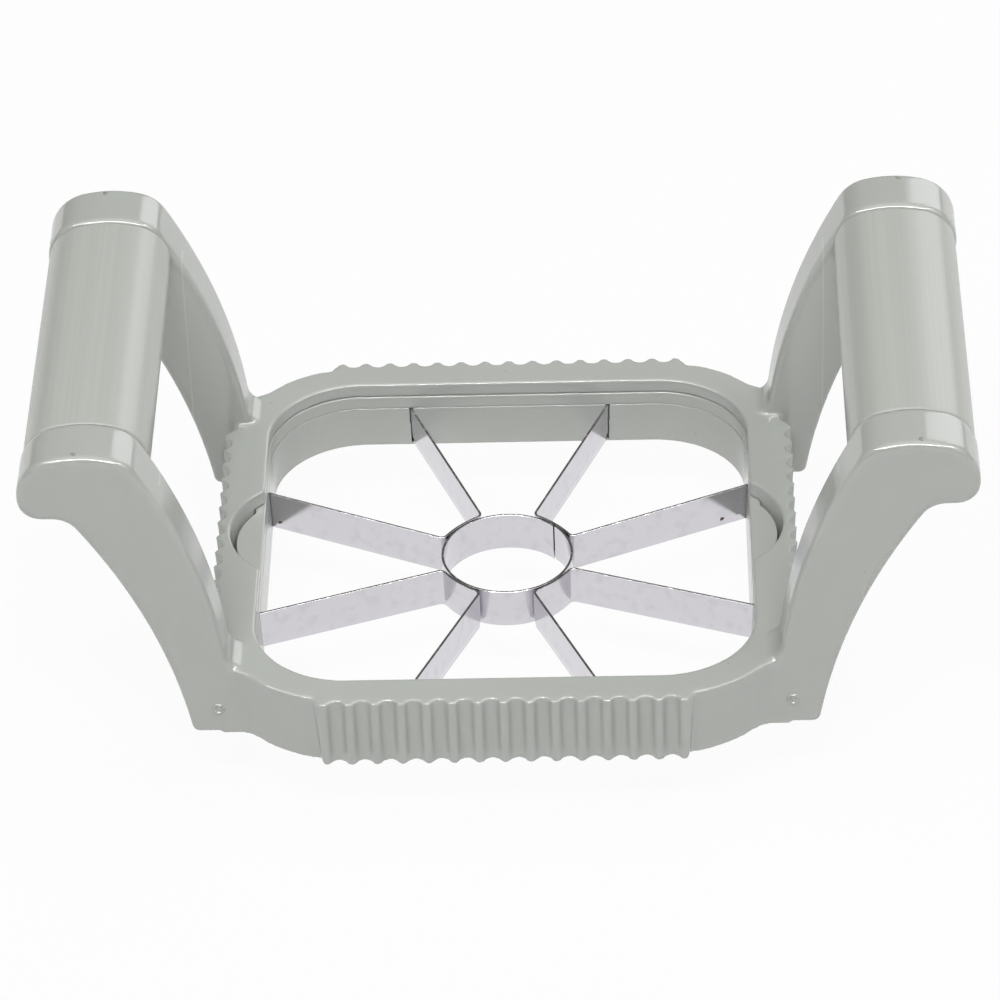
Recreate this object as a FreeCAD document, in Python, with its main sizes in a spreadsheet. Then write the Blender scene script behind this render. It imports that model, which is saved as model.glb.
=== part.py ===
import FreeCAD, Part

import math
import os
import re
import Sketcher

Vector = FreeCAD.Vector
Rotation = FreeCAD.Rotation
Placement = FreeCAD.Placement

# Apple slicer and wedger: a square plastic press frame with two side grips carries a drop-out
# cassette of stainless blades.
# Frame of reference: X to the right, Y to the rear, Z up, origin at the centre of the base, in mm.

doc = FreeCAD.newDocument("apple_wedger_press")

# ---------------------------------------------------------------------------------------------
# Driving dimensions
# ---------------------------------------------------------------------------------------------
DIMENSIONS = {
    # fits between separate pieces
    "fit_gap": 0.3,              # cassette inside the collar, all round
    "seat_gap": 0.1,             # faces that sit on each other, grip ends and spigots
    "weld_gap": 0.02,            # core ring to the webs that are spot welded to it
    # collar of the frame, measured on its top face
    "collar_height": 15.8,
    "collar_half_x": 57.2,       # to the smooth wall
    "collar_half_y": 56.8,
    "collar_corner": 26.0,
    "wall_draft": 4.0,           # degrees, outer walls run in towards the base
    # grip flutes round the collar
    "rib_pitch": 5.03,
    "rib_depth": 1.7,            # from the smooth wall to the crests
    "crest_round": 1.1,
    "flute_rise": 0.2,           # bottoms of the flutes stand this much proud of the smooth wall
    "front_rib_margin": 19.0,    # smooth wall beside the ribs, from the collar's outermost line
    "side_rib_margin": 21.0,
    # lip over the cassette
    "lip_thickness": 3.0,
    "rim_width_x": 7.6,          # from the lip's edge to the smooth wall
    "rim_width_y": 6.7,
    "opening_corner": 18.7,      # of the lip and of the cassette's inner wall
    "recess_flare": 0.9,         # the tab recess widens towards the top face
    # blade cassette
    "cassette_flush": 0.1,       # inner wall stands this much inside the lip at its top,
    "cassette_step_x": 0.6,      # and this much at its bottom
    "cassette_step_y": 1.0,
    "cassette_wall": 2.6,
    "cassette_bottom": 1.0,
    "tab_setback": 2.2,          # tip of the half-moon push tab, inside the collar's wall
    "tab_radius": 15.3,
    "tab_thickness": 2.2,
    # blades
    "strip_thickness": 0.5,
    "strip_height": 8.5,
    "spoke_angle": 22.5,         # degrees from the nearer axis
    "bend_radius": 1.25,
    "slot_depth": 1.6,           # how far a blade end is let into the cassette wall
    "ring_radius": 13.5,
    "ring_bottom": 0.1,
    "ring_slit": 0.2,
    "slit_angle": 43.0,
    "blade_rise": 1.3,           # blade ends stand this much higher than the core ring
    # arms, outline in side view
    "foot_reach": 4.8,           # foot beyond the collar
    "arm_inset_x": 6.4,          # inner edge of an arm, inside the collar's wall
    "toe_run": 3.6,
    "toe_rise": 3.3,
    "arm_outer_bow": 125.0,
    "arm_inner_bow": 119.0,
    "throat_offset": 3.5,        # from the grip's middle to where the bow meets the belly
    "nape_offset": 9.4,
    "foot_round": 1.6,
    "throat_round": 5.5,
    "nape_round": 8.0,
    "arm_edge_round": 1.2,
    # arms, across the press
    "arm_inset_y": 10.4,         # outer face at the foot, inside the collar's wall
    "arm_splay": 1.1,            # the outer face leans out by this much up to the top
    "foot_thickness": 9.1,
    "head_thickness": 12.3,
    "junction_round": 7.0,       # hollow between an arm's outer face and the collar's corner
    "root_reach": 5.5,           # the arm's root in the collar reaches this far outwards
    # heads and grips, D-shaped section
    "grip_offset": 22.6,         # grip's middle beyond the collar
    "head_half_width": 12.7,
    "head_top": 68.0,
    "head_depth": 14.9,
    "crown_bow": 24.0,
    "shoulder_round": 9.0,
    "belly_round": 4.5,
    "grip_inset": 0.35,          # grip surface lies this much below the heads
    "grip_wall": 2.4,
    "spigot_length": 6.0,
}

sizes = doc.addObject("Spreadsheet::Sheet", "sizes")
for row, (alias, number) in enumerate(DIMENSIONS.items(), start=1):
    sizes.set(f"A{row}", alias)
    sizes.set(f"B{row}", str(number))
    sizes.setAlias(f"B{row}", alias)
doc.recompute()


def linked(expression):
    """The same expression with each size name pointed at the spreadsheet."""
    def point(match):
        word = match.group(0)
        return f"sizes.{word}" if word in DIMENSIONS else word
    return re.sub(r"[A-Za-z_]+", point, str(expression))


def measure(expression):
    """The present value of an expression of size names."""
    return float(sizes.evalExpression(linked(expression)))


def bind(item, **properties):
    """Tie properties to expressions; a double underscore in a name stands for a dot."""
    for name, expression in properties.items():
        item.setExpression(name.replace("__", "."), linked(expression))
    return item


def add(kind, name, **properties):
    return bind(doc.addObject(kind, name), **properties)


# ---------------------------------------------------------------------------------------------
# Places that follow from the driving dimensions
# ---------------------------------------------------------------------------------------------
LIP_HALF_X = "(collar_half_x - rim_width_x)"
LIP_HALF_Y = "(collar_half_y - rim_width_y)"
LIP_Z = "(collar_height - lip_thickness)"
CASSETTE_HALF_X = f"({LIP_HALF_X} - cassette_step_x)"
CASSETTE_HALF_Y = f"({LIP_HALF_Y} - cassette_step_y)"
CASSETTE_TOP_Z = f"({LIP_Z} - seat_gap)"
PARTING_Z = "(ring_bottom + strip_height + blade_rise)"
TAB_CENTRE_X = "(collar_half_x - tab_setback - tab_radius)"
TAB_BOTTOM_Z = f"({CASSETTE_TOP_Z} - tab_thickness)"

FRONT_RIBS = "floor(2 * (collar_half_x - front_rib_margin) / rib_pitch)"
SIDE_RIBS = "floor(2 * (collar_half_y - side_rib_margin) / rib_pitch)"

ARM_INNER_X = "(collar_half_x - arm_inset_x)"
FOOT_X = "(collar_half_x + foot_reach)"
TOE_X = f"({ARM_INNER_X} + toe_run)"
TOE_Z = "(collar_height + toe_rise)"
GRIP_X = "(collar_half_x + grip_offset)"
THROAT_X = f"({GRIP_X} + throat_offset)"
NAPE_X = f"({GRIP_X} - nape_offset)"
HEAD_TIP_X = f"({GRIP_X} + head_half_width)"
HEAD_BOTTOM_Z = "(head_top - head_depth)"
ARM_OUTER_FOOT_Y = "(collar_half_y - arm_inset_y)"
ARM_OUTER_TOP_Y = f"({ARM_OUTER_FOOT_Y} + arm_splay)"
ARM_INNER_FOOT_Y = f"({ARM_OUTER_FOOT_Y} - foot_thickness)"
ARM_INNER_TOP_Y = f"({ARM_OUTER_TOP_Y} - head_thickness)"

# ---------------------------------------------------------------------------------------------
# Sketches, prisms and booleans that several pieces share
# ---------------------------------------------------------------------------------------------
PLAN_VIEW = Rotation()                          # sketch x, y lie along X, Y
SIDE_VIEW = Rotation(Vector(1, 0, 0), 90)       # sketch x, y lie along X, Z
END_VIEW = Rotation(Vector(1, 1, 1), 120)       # sketch x, y lie along Y, Z
THROUGH = 1                                     # cutters run past the faces that they open


def outline(name, view, corners):
    """Closed sketch. A corner is (x, y) or (x, y, bow): bow is the radius of the arc that
    leaves the corner, positive where it bulges to the right of its way."""
    sketch = doc.addObject("Sketcher::SketchObject", name)
    sketch.Placement = Placement(Vector(), view)
    points = [Vector(measure(corner[0]), measure(corner[1]), 0) for corner in corners]
    ends = []
    for index, corner in enumerate(corners):
        start = points[index]
        end = points[(index + 1) % len(points)]
        if len(corner) == 2:
            sketch.addGeometry(Part.LineSegment(start, end))
            ends.append((1, 2))
            continue
        radius = measure(corner[2])
        chord = end - start
        bulge = abs(radius) - math.sqrt(radius ** 2 - (chord.Length / 2) ** 2)
        right = Vector(chord.y, -chord.x, 0).normalize()
        middle = (start + end) / 2 + right * math.copysign(bulge, radius)
        sketch.addGeometry(Part.Arc(start, middle, end))
        ends.append((1, 2) if radius > 0 else (2, 1))
    for index, corner in enumerate(corners):
        begin = ends[index][0]
        before = (index - 1) % len(corners)
        sketch.addConstraint(Sketcher.Constraint(
            "Coincident", before, ends[before][1], index, begin))
        for kind, expression, number in (("DistanceX", corner[0], points[index].x),
                                         ("DistanceY", corner[1], points[index].y)):
            place = sketch.addConstraint(Sketcher.Constraint(kind, -1, 1, index, begin, number))
            sketch.setExpression(f"Constraints[{place}]", linked(expression))
        if len(corner) == 3:
            bow = sketch.addConstraint(Sketcher.Constraint(
                "Radius", index, abs(measure(corner[2]))))
            sketch.setExpression(f"Constraints[{bow}]", linked(f"abs({corner[2]})"))
    return sketch


def extruded(name, sketch, **lengths):
    """Prism of a closed sketch: LengthFwd along its normal, LengthRev against it."""
    prism = doc.addObject("Part::Extrusion", name)
    prism.Base = sketch
    prism.DirMode = "Normal"
    prism.Solid = True
    prism.LengthFwd = 0
    return bind(prism, **lengths)


def runs_along_y(edge):
    box = edge.BoundBox
    return box.YLength > 10 * max(box.XLength, box.ZLength)


def rounded(name, solid, picks):
    """Fillets on a solid: each pick is a radius and a test of an edge."""
    doc.recompute()
    fillet = doc.addObject("Part::Fillet", name)
    fillet.Base = solid
    chosen = []
    for number, edge in enumerate(solid.Shape.Edges, start=1):
        for radius, test in picks:
            if test(edge):
                chosen.append((number, measure(radius), measure(radius)))
                break
    fillet.Edges = chosen
    return fillet


def joined(name, pieces):
    fuse = doc.addObject("Part::MultiFuse", name)
    fuse.Shapes = pieces
    fuse.Refine = True
    return fuse


def cut(name, base, tool):
    result = doc.addObject("Part::Cut", name)
    result.Base = base
    result.Tool = tool
    result.Refine = True
    return result


def common(name, pieces):
    result = doc.addObject("Part::MultiCommon", name)
    result.Shapes = pieces
    return result


def mirrored(name, source, normal):
    twin = doc.addObject("Part::Mirroring", name)
    twin.Source = source
    twin.Normal = normal
    return twin


def rounded_square(name, half_x, half_y, corner, level):
    """Rounded square about the origin, in plan, at a height."""
    sketch = outline(name, PLAN_VIEW, [
        (f"-({half_x}) + {corner}", f"-({half_y})"),
        (f"{half_x} - {corner}", f"-({half_y})", corner),
        (half_x, f"-({half_y}) + {corner}"),
        (half_x, f"{half_y} - {corner}", corner),
        (f"{half_x} - {corner}", half_y),
        (f"-({half_x}) + {corner}", half_y, corner),
        (f"-({half_x})", f"{half_y} - {corner}"),
        (f"-({half_x})", f"-({half_y}) + {corner}", corner),
    ])
    return bind(sketch, Placement__Base__z=level)


def square_prism(name, half_x, half_y, corner, bottom, top):
    base = rounded_square(f"{name}_outline", half_x, half_y, corner, bottom)
    return extruded(name, base, LengthFwd=f"{top} - ({bottom})")


def slanted(foot, top, level):
    """Distance from the middle plane of an arm face at a height: the arms widen upwards."""
    return f"({foot} + ({top} - {foot}) * ({level}) / head_top)"


def crown_z(across, inset="0"):
    """Height of the crowned top at a distance from the grip's middle."""
    bow = f"(crown_bow - ({inset}))"
    return f"(head_top - ({inset}) - {bow} + sqrt({bow}^2 - ({across})^2))"


def grip_section(name, inset):
    """D-shaped prism along Y through both heads: crowned top, upright sides, flat belly."""
    half = f"(head_half_width - ({inset}))"
    belly = f"({HEAD_BOTTOM_Z} + {inset})"
    shoulder = crown_z(half, inset)
    section = outline(f"{name}_outline", SIDE_VIEW, [
        (f"{GRIP_X} - {half}", belly),
        (f"{GRIP_X} + {half}", belly),
        (f"{GRIP_X} + {half}", shoulder, f"(crown_bow - ({inset}))"),
        (f"{GRIP_X} - {half}", shoulder),
    ])
    prism = extruded(f"{name}_prism", section,
                     LengthFwd=ARM_OUTER_TOP_Y, LengthRev=ARM_OUTER_TOP_Y)
    middle_z = measure("head_top - head_depth / 2")
    return rounded(name, prism, [
        (f"shoulder_round - ({inset})",
         lambda edge: runs_along_y(edge) and edge.CenterOfMass.z > middle_z),
        (f"belly_round - ({inset})",
         lambda edge: runs_along_y(edge) and edge.CenterOfMass.z < middle_z),
    ])


# ---------------------------------------------------------------------------------------------
# Frame: fluted collar, four bowed arms with D-shaped heads and spigots, all one moulding
# ---------------------------------------------------------------------------------------------
def drafted(name, sketch):
    """Block under the collar's top face whose walls run in towards the base."""
    bind(sketch, Placement__Base__z="collar_height")
    return extruded(name, sketch, LengthRev="collar_height", TaperAngleRev="-wall_draft")


def rectangle(name, half_x, half_y):
    return outline(name, PLAN_VIEW, [
        (f"-({half_x})", f"-({half_y})"), (half_x, f"-({half_y})"),
        (half_x, half_y), (f"-({half_x})", half_y),
    ])


def arm_bar(name, bottom, top, reach):
    """Bar along X whose end section lies between the two slanted faces of a rear arm."""
    section = outline(f"{name}_outline", END_VIEW, [
        (slanted(ARM_INNER_FOOT_Y, ARM_INNER_TOP_Y, bottom), bottom),
        (slanted(ARM_OUTER_FOOT_Y, ARM_OUTER_TOP_Y, bottom), bottom),
        (slanted(ARM_OUTER_FOOT_Y, ARM_OUTER_TOP_Y, top), top),
        (slanted(ARM_INNER_FOOT_Y, ARM_INNER_TOP_Y, top), top),
    ])
    return extruded(name, section, LengthFwd=reach)


collar_wall = drafted("collar_wall", rounded_square(
    "collar_outline", "collar_half_x", "collar_half_y", "collar_corner", "collar_height"))

# The root of each arm runs into the collar's corner with a hollow round.
ROOT_TIP_X = f"({ARM_INNER_X} + root_reach)"
root_right = arm_bar("root_right", "0", "collar_height", ROOT_TIP_X)
root_left = mirrored("root_left", root_right, Vector(1, 0, 0))
roots_rear = joined("roots_rear", [root_right, root_left])
roots_front = mirrored("roots_front", roots_rear, Vector(0, 1, 0))
collar_sharp = joined("collar_sharp", [collar_wall, roots_rear, roots_front])


def is_junction(edge):
    """Upright edge where the outer face of a root leaves the collar's corner."""
    centre = edge.CenterOfMass
    face_y = measure(slanted(ARM_OUTER_FOOT_Y, ARM_OUTER_TOP_Y, centre.z))
    return (edge.BoundBox.ZLength > 0.8 * measure("collar_height")
            and abs(abs(centre.y) - face_y) < 0.05
            and abs(centre.x) < measure(ROOT_TIP_X) - 1)


collar_smooth = rounded("collar_smooth", collar_sharp, [("junction_round", is_junction)])

# Ribs and flutes make one wave: the slab behind each row is trimmed to it.
FRONT_ROW = f"({FRONT_RIBS} * rib_pitch / 2)"   # half the length of a row
SIDE_ROW = f"({SIDE_RIBS} * rib_pitch / 2)"
front_rib_slab = drafted("front_rib_slab", rectangle(
    "front_rib_outline", f"{FRONT_ROW} - crest_round / 2",
    f"collar_half_y + rib_depth + {THROUGH}"))
side_rib_slab = drafted("side_rib_slab", rectangle(
    "side_rib_outline", f"collar_half_x + rib_depth + {THROUGH}",
    f"{SIDE_ROW} - crest_round / 2"))
collar_blank = joined("collar_blank", [collar_smooth, front_rib_slab, side_rib_slab])


WAVE_DEPTH = "(rib_depth - flute_rise)"
WAVE_ROUNDS = f"(((rib_pitch / 2)^2 + {WAVE_DEPTH}^2) / (2 * {WAVE_DEPTH}))"
FLUTE_ROUND = f"({WAVE_ROUNDS} - crest_round)"
JOIN_ALONG = f"(rib_pitch / 2 * {FLUTE_ROUND} / {WAVE_ROUNDS})"
JOIN_OUT = f"({FLUTE_ROUND} - ({WAVE_ROUNDS} - {WAVE_DEPTH}) * {FLUTE_ROUND} / {WAVE_ROUNDS})"


def wave_cutter(name, wall, half, count):
    """Cutter outside a row of ribs: rounded crests and flutes that run into each other."""
    row = f"({count} * rib_pitch / 2)"
    floor = f"({half} + flute_rise)"
    outside = f"({half} + rib_depth + 2 * {THROUGH})"
    wave = [(f"-{row} - {THROUGH}", floor), (f"-{row}", floor, FLUTE_ROUND)]
    for number in range(round(measure(count))):
        wave.append((f"-{row} + {number} * rib_pitch + {JOIN_ALONG}", f"{floor} + {JOIN_OUT}",
                     "-crest_round"))
        wave.append((f"-{row} + {number + 1} * rib_pitch - {JOIN_ALONG}", f"{floor} + {JOIN_OUT}",
                     FLUTE_ROUND))
    wave += [(row, floor), (f"{row} + {THROUGH}", floor), (f"{row} + {THROUGH}", outside),
             (f"-{row} - {THROUGH}", outside)]
    if wall.x:
        wave = [(corner[1], f"-({corner[0]})") + corner[2:] for corner in wave]
    base = bind(outline(f"{name}_outline", PLAN_VIEW, wave), Placement__Base__z="collar_height")
    cutter = extruded(name, base, LengthRev=f"(collar_height + {THROUGH}) / cos(wall_draft * 1deg)",
                      LengthFwd=THROUGH)
    cutter.DirMode = "Custom"
    return bind(cutter, Dir__x=f"{wall.x} * sin(wall_draft * 1deg)",
                Dir__y=f"{wall.y} * sin(wall_draft * 1deg)", Dir__z="cos(wall_draft * 1deg)")


flutes_rear = wave_cutter("flutes_rear", Vector(0, 1, 0), "collar_half_y", FRONT_RIBS)
flutes_right = wave_cutter("flutes_right", Vector(1, 0, 0), "collar_half_x", SIDE_RIBS)
flutes = [flutes_rear, mirrored("flutes_front", flutes_rear, Vector(0, 1, 0)),
          flutes_right, mirrored("flutes_left", flutes_right, Vector(1, 0, 0))]
flute_cutters = joined("flute_cutters", flutes)
flute_cutters.Refine = False
fluted_collar = cut("fluted_collar", collar_blank, flute_cutters)

# One arm in side view: foot, bowed outer edge, throat, D-shaped head, bowed inner edge, toe.
HEAD_SHOULDER_Z = crown_z("head_half_width")
NAPE_Z = crown_z("nape_offset")
TOE_BOW = "(0.75 * sqrt(toe_run^2 + toe_rise^2))"
ARM_REACH = f"({HEAD_TIP_X} + {THROUGH})"
arm_outline = outline("arm_outline", SIDE_VIEW, [
    (ARM_INNER_X, "0"),
    (FOOT_X, "0", "-arm_outer_bow"),
    (THROAT_X, HEAD_BOTTOM_Z),
    (HEAD_TIP_X, HEAD_BOTTOM_Z),
    (HEAD_TIP_X, HEAD_SHOULDER_Z, "crown_bow"),
    (NAPE_X, NAPE_Z, "arm_inner_bow"),
    (TOE_X, TOE_Z, f"-{TOE_BOW}"),
    (ARM_INNER_X, "collar_height"),
])
ARM_SPAN = f"({ARM_OUTER_TOP_Y} + {THROUGH})"
arm_slab = extruded("arm_slab", arm_outline, LengthFwd=ARM_SPAN, LengthRev=ARM_SPAN)


def corner_at(x, z):
    """Test for the edge along Y that stands at a corner of the side view."""
    reach = 1.0

    def test(edge):
        centre = edge.CenterOfMass
        return runs_along_y(edge) and math.hypot(
            centre.x - measure(x), centre.z - measure(z)) < reach
    return test


arm_rounded = rounded("arm_rounded", arm_slab, [
    ("foot_round", corner_at(FOOT_X, "0")),
    ("throat_round", corner_at(THROAT_X, HEAD_BOTTOM_Z)),
    ("belly_round", corner_at(HEAD_TIP_X, HEAD_BOTTOM_Z)),
    ("shoulder_round", corner_at(HEAD_TIP_X, HEAD_SHOULDER_Z)),
    ("nape_round", corner_at(NAPE_X, NAPE_Z)),
])


arm_faces = arm_bar("arm_faces", f"-{THROUGH}", f"head_top + {THROUGH}", ARM_REACH)
arm_sharp = common("arm_sharp", [arm_rounded, arm_faces])
arm = rounded("arm", arm_sharp, [(
    "arm_edge_round",
    lambda edge: not runs_along_y(edge) and edge.BoundBox.ZMax > measure(TOE_Z))])
arm_left = mirrored("arm_left", arm, Vector(1, 0, 0))
arms_rear = joined("arms_rear", [arm, arm_left])
arms_front = mirrored("arms_front", arms_rear, Vector(0, 1, 0))

# Spigots on the inner faces of the heads carry the ends of the hollow grips.
spigot_bar = grip_section("spigot_bar", "grip_inset + grip_wall + seat_gap")
SPIGOT_END_Y = f"({ARM_INNER_TOP_Y} - spigot_length)"
SPIGOT_ROOT_Y = f"({ARM_OUTER_FOOT_Y} - foot_thickness / 2)"
spigot_outline = outline("spigot_outline", END_VIEW, [
    (SPIGOT_END_Y, "0"), (SPIGOT_ROOT_Y, "0"),
    (SPIGOT_ROOT_Y, "head_top"), (SPIGOT_END_Y, "head_top"),
])
spigot_window = extruded("spigot_window", spigot_outline, LengthFwd=ARM_REACH)
spigot = common("spigot", [spigot_bar, spigot_window])
spigot_left = mirrored("spigot_left", spigot, Vector(1, 0, 0))
spigots_rear = joined("spigots_rear", [spigot, spigot_left])
spigots_front = mirrored("spigots_front", spigots_rear, Vector(0, 1, 0))

frame_blank = joined("frame_blank", [
    fluted_collar, arms_rear, arms_front, spigots_rear, spigots_front])

# Inside the collar: a bore for the cassette under the lip, and a recess for each push tab.
BORE_GROWTH = "(cassette_wall + fit_gap)"
bore = square_prism(
    "cassette_bore", f"({CASSETTE_HALF_X} + {BORE_GROWTH})", f"({CASSETTE_HALF_Y} + {BORE_GROWTH})",
    f"(opening_corner + {BORE_GROWTH})", f"-{THROUGH}", LIP_Z)
lip_opening = square_prism(
    "lip_opening", LIP_HALF_X, LIP_HALF_Y, "opening_corner",
    f"{LIP_Z} - {THROUGH}", f"collar_height + {THROUGH}")
tab_recesses = []
for label, side in (("left", -1), ("right", 1)):
    tab_recesses.append(add(
        "Part::Cylinder", f"tab_recess_{label}",
        Radius="tab_radius + fit_gap", Height=f"collar_height + 2 * {THROUGH}",
        Placement__Base__x=f"{side} * {TAB_CENTRE_X}", Placement__Base__z=-THROUGH))
    tab_recesses.append(add(
        "Part::Cone", f"tab_recess_mouth_{label}",
        Radius1="tab_radius + fit_gap", Radius2="tab_radius + fit_gap + recess_flare",
        Height=f"collar_height - {TAB_BOTTOM_Z}",
        Placement__Base__x=f"{side} * {TAB_CENTRE_X}", Placement__Base__z=TAB_BOTTOM_Z))
frame_openings = joined("frame_openings", [bore, lip_opening] + tab_recesses)
frame = cut("frame", frame_blank, frame_openings)

# ---------------------------------------------------------------------------------------------
# Grips: hollow D-shaped tubes sprung over the spigots between the heads
# ---------------------------------------------------------------------------------------------
grip_outside = grip_section("grip_outside", "grip_inset")
grip_inside = grip_section("grip_inside", "grip_inset + grip_wall")
grip_tube = cut("grip_tube", grip_outside, grip_inside)
GRIP_FOOT_Y = f"({ARM_INNER_FOOT_Y} - seat_gap)"
GRIP_TOP_Y = f"({ARM_INNER_TOP_Y} - seat_gap)"
grip_outline = outline("grip_outline", END_VIEW, [
    (f"-{GRIP_FOOT_Y}", "0"), (GRIP_FOOT_Y, "0"),
    (GRIP_TOP_Y, "head_top"), (f"-{GRIP_TOP_Y}", "head_top"),
])
grip_window = extruded("grip_window", grip_outline, LengthFwd=ARM_REACH)
grip_right = common("grip_right", [grip_tube, grip_window])
grip_left = mirrored("grip_left", grip_right, Vector(1, 0, 0))

# ---------------------------------------------------------------------------------------------
# Cassette: lower ring with eight blade slots, upper ring with two half-moon push tabs
# ---------------------------------------------------------------------------------------------
def cassette_block(name, bottom, top):
    """Outer block of one ring of the cassette."""
    return square_prism(
        name, f"({CASSETTE_HALF_X} + cassette_wall)", f"({CASSETTE_HALF_Y} + cassette_wall)",
        "(opening_corner + cassette_wall)", bottom, top)


def cassette_section(name, level):
    """Opening of the cassette at a height: flush with the lip on top, narrower below."""
    fall = f"(({CASSETTE_TOP_Z} - ({level})) / ({CASSETTE_TOP_Z} - cassette_bottom))"
    return rounded_square(
        name, f"({LIP_HALF_X} - cassette_flush - (cassette_step_x - cassette_flush) * {fall})",
        f"({LIP_HALF_Y} - cassette_flush - (cassette_step_y - cassette_flush) * {fall})",
        "opening_corner", level)


cassette_opening = doc.addObject("Part::Loft", "cassette_opening")
cassette_opening.Sections = [
    cassette_section("cassette_opening_bottom", f"cassette_bottom - {THROUGH}"),
    cassette_section("cassette_opening_top", f"{CASSETTE_TOP_Z} + {THROUGH}")]
cassette_opening.Solid = True
cassette_opening.Ruled = True

lower_outside = cassette_block("lower_outside", "cassette_bottom", PARTING_Z)
SLOT_WIDTH = "(strip_thickness + 2 * seat_gap)"
SLOT_FLOOR = "(ring_bottom + blade_rise - seat_gap)"


def spokes(quarter):
    """Angle, in degrees, and the cassette's half width on its side for both spokes."""
    first = f"({quarter} * 90 + spoke_angle)"
    second = f"({quarter} * 90 + 90 - spoke_angle)"
    halves = [CASSETTE_HALF_X, CASSETTE_HALF_Y]
    if quarter % 2:
        halves.reverse()
    return [(first, halves[0]), (second, halves[1])]


slots = []
for quarter in range(4):
    for angle, half in spokes(quarter):
        turn = f"({angle} * 1deg)"
        start = f"({half} - cassette_wall)"
        end = f"(({half} + slot_depth + seat_gap) / cos(spoke_angle * 1deg))"
        slots.append(add(
            "Part::Box", f"blade_slot_{len(slots) + 1}", Length=f"{end} - {start}",
            Width=SLOT_WIDTH, Height=f"strip_height + {THROUGH}",
            Placement__Base__x=f"{start} * cos{turn} + {SLOT_WIDTH} / 2 * sin{turn}",
            Placement__Base__y=f"{start} * sin{turn} - {SLOT_WIDTH} / 2 * cos{turn}",
            Placement__Base__z=SLOT_FLOOR, Placement__Rotation__Angle=angle))
lower_openings = joined("lower_openings", [cassette_opening] + slots)
cassette_lower = cut("cassette_lower", lower_outside, lower_openings)

upper_outside = cassette_block("upper_outside", PARTING_Z, CASSETTE_TOP_Z)
push_tabs = []
for label, side in (("left", -1), ("right", 1)):
    push_tabs.append(add(
        "Part::Cylinder", f"push_tab_{label}", Radius="tab_radius", Height="tab_thickness",
        Placement__Base__x=f"{side} * {TAB_CENTRE_X}", Placement__Base__z=TAB_BOTTOM_Z))
upper_blank = joined("upper_blank", [upper_outside] + push_tabs)
cassette_upper = cut("cassette_upper", upper_blank, cassette_opening)

# ---------------------------------------------------------------------------------------------
# Core ring: strip rolled round the core, with its butt joint at the right rear
# ---------------------------------------------------------------------------------------------
ring_outside = add("Part::Cylinder", "ring_outside", Radius="ring_radius", Height="strip_height",
                   Placement__Base__z="ring_bottom")
ring_inside = add("Part::Cylinder", "ring_inside", Radius="ring_radius - strip_thickness",
                  Height="strip_height", Placement__Base__z="ring_bottom")
ring_slit = add("Part::Box", "ring_joint", Length="ring_radius + strip_thickness",
                Width="ring_slit", Height="strip_height", Placement__Base__z="ring_bottom",
                Placement__Rotation__Angle="slit_angle")
core_ring = cut("core_ring", ring_outside, joined("ring_openings", [ring_inside, ring_slit]))

# ---------------------------------------------------------------------------------------------
# Blade strips: each is one strip folded into two spokes and a web that hugs the core ring
# ---------------------------------------------------------------------------------------------
WEB_RADIUS = "(ring_radius + weld_gap + strip_thickness / 2)"
BEND_CENTRE = f"({WEB_RADIUS} + bend_radius)"
BEND_STEP = f"(asin(bend_radius / {BEND_CENTRE}) / 1deg)"
SPOKE_ROOT = f"({BEND_CENTRE} * cos({BEND_STEP} * 1deg))"
BLANK_HEIGHT = "(2 * strip_height)"             # blanks are trimmed to the blade band
BLANK_BOTTOM = "(-strip_height / 4)"


def bent_strip(name, centre_x, centre_y, radius, start, sweep):
    """Upright strip bent to an arc, start and sweep in degrees."""
    outer = add("Part::Cylinder", f"{name}_outer", Radius=f"{radius} + strip_thickness / 2",
                Angle=sweep)
    inner = add("Part::Cylinder", f"{name}_inner", Radius=f"{radius} - strip_thickness / 2")
    for cylinder in (outer, inner):
        bind(cylinder, Height=BLANK_HEIGHT, Placement__Base__x=centre_x,
             Placement__Base__y=centre_y, Placement__Base__z=BLANK_BOTTOM,
             Placement__Rotation__Angle=start)
    return cut(name, outer, inner)


# Band between the slanted cutting edge and the slanted upper edge of the spokes.
BAND_INNER = "(ring_radius - strip_thickness)"
WALL_HALF = f"max({CASSETTE_HALF_X}; {CASSETTE_HALF_Y})"
BAND_OUTER = f"(({WALL_HALF} + slot_depth + strip_thickness) / cos(spoke_angle * 1deg))"
blade_band = doc.addObject("Part::Revolution", "blade_band")
blade_band.Source = outline("blade_band_outline", SIDE_VIEW, [
    (BAND_INNER, "ring_bottom"),
    (WEB_RADIUS, "ring_bottom"),
    (BAND_OUTER, "ring_bottom + blade_rise"),
    (BAND_OUTER, "ring_bottom + blade_rise + strip_height"),
    (WEB_RADIUS, "ring_bottom + strip_height"),
    (BAND_INNER, "ring_bottom + strip_height"),
])
blade_band.Axis = Vector(0, 0, 1)
blade_band.Angle = 360
blade_band.Solid = True


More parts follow.
